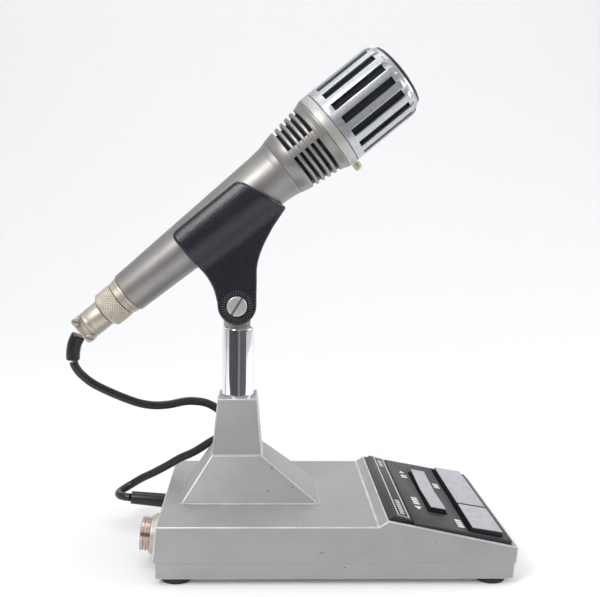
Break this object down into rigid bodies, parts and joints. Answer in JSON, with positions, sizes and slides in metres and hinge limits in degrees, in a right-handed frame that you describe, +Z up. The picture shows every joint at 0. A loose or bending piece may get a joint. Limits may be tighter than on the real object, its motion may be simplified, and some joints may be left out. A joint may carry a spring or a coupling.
{
  "type": "desk microphone",
  "caption": "Desk microphone for a radio: a tapered metal microphone tilts in a clip on a chrome post, over a sloping base with a press-to-talk key, lock key and rocker.",
  "frame": {"origin": "middle of the base's and microphone's footprint, on the surface that the feet rest on", "axes": "+X from the rear wall towards the keys and the microphone's head, +Y to the left of someone who looks along +X, +Z up"},
  "size_m": [0.2144, 0.11, 0.2468],
  "materials": {
    "base_paint": "fine metallic grey paint, worn bright at the edges",
    "panel_black": "satin dark grey",
    "key_silver": "satin",
    "mic_silver": "satin",
    "ring_cream": "polished",
    "chrome": "polished",
    "nickel": "worn nickel plate",
    "steel": "plain",
    "clip_black": "fine leather grain",
    "black_plastic": "matte",
    "grille_cloth": "black cloth",
    "foot_rubber": "matte",
    "lead_rubber": "satin",
    "board": "coated board"
  },
  "bodies": {
    "base": {"upper_shell": "base_paint", "lower_shell": "base_paint", "case_screw_front_near": "steel", "case_screw_front_far": "steel", "case_screw_rear_near": "steel", "case_screw_rear_far": "steel", "foot_front_near": "foot_rubber", "foot_front_far": "foot_rubber", "foot_rear_near": "foot_rubber", "foot_rear_far": "foot_rubber", "key_panel": "panel_black", "trim_strip": "panel_black", "key_rod": "steel", "key_board": "board", "ptt_spring": "steel", "lock_spring": "steel", "amplifier_board": "board", "slide_switch_case": "steel", "rear_socket": "nickel", "rear_socket_nut": "nickel", "rear_socket_insert": "black_plastic", "lead_boot": "lead_rubber", "lead": "lead_rubber", "post_tube": "chrome", "post_nut": "steel", "tongue_block": "steel", "washer_near": "steel", "washer_far": "steel"},
    "mic": {"holder": "clip_black", "pivot_screw": "steel", "pivot_nut": "steel", "mic_tube": "mic_silver", "vent_housing": "mic_silver", "vent_liner": "grille_cloth", "name_ring": "ring_cream", "head_lock_stud": "nickel", "head_grille": "mic_silver", "grille_cloth": "grille_cloth", "front_cap": "black_plastic", "capsule": "steel", "capsule_mount": "lead_rubber", "transformer": "steel", "tail_socket": "nickel", "tail_socket_insert": "black_plastic", "plug_shell": "nickel", "cable_clamp": "nickel", "clamp_screw_upper": "steel", "clamp_screw_lower": "steel", "lead_sleeve": "lead_rubber"},
    "coupling": {"coupling_ring": "nickel"},
    "ptt": {"ptt_key": "key_silver"},
    "lock": {"lock_key": "key_silver"},
    "rocker": {"up_down_rocker": "key_silver"},
    "slide_knob": {"slide_switch_knob": "black_plastic"}
  },
  "joints": [
    {"name": "mic_tilt", "type": "hinge", "parent": "base", "child": "mic", "pos_m": [-0.03354, 0, 0.1215], "axis": [0, -1, 0], "range_deg": [-40, 30], "deforming": ["lead"]},
    {"name": "ptt_press", "type": "hinge", "parent": "base", "child": "ptt", "pos_m": [0.08693, 0, 0.01547], "axis": [0, -1, 0], "range_deg": [0, 7.5], "stiffness_Nm_per_rad": 0.12, "springref_deg": -4.58, "deforming": ["ptt_spring"]},
    {"name": "lock_press", "type": "hinge", "parent": "base", "child": "lock", "pos_m": [0.08693, 0, 0.01547], "axis": [0, -1, 0], "range_deg": [0, 7.5], "stiffness_Nm_per_rad": 0.12, "springref_deg": -4.58, "deforming": ["lock_spring"]},
    {"name": "rocker_tilt", "type": "hinge", "parent": "base", "child": "rocker", "pos_m": [0.06325, 0.0023, 0.02346], "axis": [0.9829, 0, -0.1839], "range_deg": [-2.5, 2.5], "stiffness_Nm_per_rad": 0.8},
    {"name": "coupling_turn", "type": "hinge", "parent": "mic", "child": "coupling", "pos_m": [-0.0948, 0, 0.12008], "axis": [0.7705, 0, 0.6374], "continuous": true},
    {"name": "slide_switch", "type": "slide", "parent": "base", "child": "slide_knob", "axis": [1, 0, 0], "range_m": [0, 0.004]}
  ]
}
